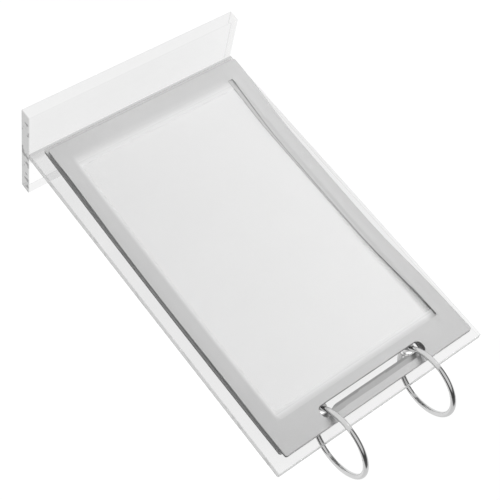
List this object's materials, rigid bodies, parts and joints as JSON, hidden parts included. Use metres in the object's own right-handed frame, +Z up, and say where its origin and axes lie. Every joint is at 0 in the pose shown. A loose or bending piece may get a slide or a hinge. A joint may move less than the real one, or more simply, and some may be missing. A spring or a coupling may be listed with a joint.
{
  "type": "menu holder",
  "caption": "Clear T-shaped table stand with hinged binder rings through its board and silver-framed pocket leaves that flip over the top to show slide-in menu cards.",
  "frame": {"origin": "middle of the underside of the foot, on the surface that the stand rests on", "axes": "+Z up the board to the rings, +X along the foot towards the pockets' open edges, -Y the front, where the leaves hang"},
  "size_m": [0.115, 0.057, 0.2082],
  "materials": {
    "clear_acrylic": "clear acrylic sheet with polished edges",
    "plated_wire": "bright nickel-plated steel wire",
    "silver_frame": "satin silver vinyl sheet",
    "window_film": "clear glossy film",
    "white_card": "blank white card"
  },
  "bodies": {
    "stand": {"foot_plate": "clear_acrylic", "display_board": "clear_acrylic"},
    "left_ring": {"left_ring_body": "plated_wire", "left_ring_rivet": "plated_wire"},
    "left_gate": {"left_ring_gate": "plated_wire"},
    "right_ring": {"right_ring_body": "plated_wire", "right_ring_rivet": "plated_wire"},
    "right_gate": {"right_ring_gate": "plated_wire"},
    "rear_leaf": {"rear_leaf_back_frame": "silver_frame", "rear_leaf_back_film": "window_film", "rear_leaf_front_film": "window_film", "rear_leaf_front_frame": "silver_frame"},
    "rear_leaf_insert": {"rear_leaf_card": "white_card"},
    "front_leaf": {"front_leaf_back_frame": "silver_frame", "front_leaf_back_film": "window_film", "front_leaf_front_film": "window_film", "front_leaf_front_frame": "silver_frame"},
    "front_leaf_insert": {"front_leaf_card": "white_card"}
  },
  "joints": [
    {"name": "left_ring_turn", "type": "hinge", "parent": "stand", "child": "left_ring", "pos_m": [-0.025, 0.00482, 0.19067], "axis": [-1, 0, 0], "range_deg": [-260, 0]},
    {"name": "left_gate_open", "type": "hinge", "parent": "left_ring", "child": "left_gate", "pos_m": [-0.025, 0.01438, 0.17752], "axis": [-1, 0, 0], "range_deg": [0, 65]},
    {"name": "right_ring_turn", "type": "hinge", "parent": "stand", "child": "right_ring", "pos_m": [0.025, 0.00482, 0.19067], "axis": [-1, 0, 0], "range_deg": [-260, 0]},
    {"name": "right_gate_open", "type": "hinge", "parent": "right_ring", "child": "right_gate", "pos_m": [0.025, 0.01438, 0.17752], "axis": [-1, 0, 0], "range_deg": [0, 65]},
    {"name": "rear_leaf_flip", "type": "hinge", "parent": "stand", "child": "rear_leaf", "pos_m": [0, 0.00482, 0.19067], "axis": [1, 0, 0], "range_deg": [-310, 0]},
    {"name": "front_leaf_flip", "type": "hinge", "parent": "rear_leaf", "child": "front_leaf", "pos_m": [0, 0.00482, 0.19067], "axis": [-1, 0, 0], "range_deg": [0, 310]},
    {"name": "rear_leaf_card_slide", "type": "slide", "parent": "rear_leaf", "child": "rear_leaf_insert", "axis": [1, 0, 0], "range_m": [0, 0.105]},
    {"name": "front_leaf_card_slide", "type": "slide", "parent": "front_leaf", "child": "front_leaf_insert", "axis": [1, 0, 0], "range_m": [0, 0.105]}
  ]
}
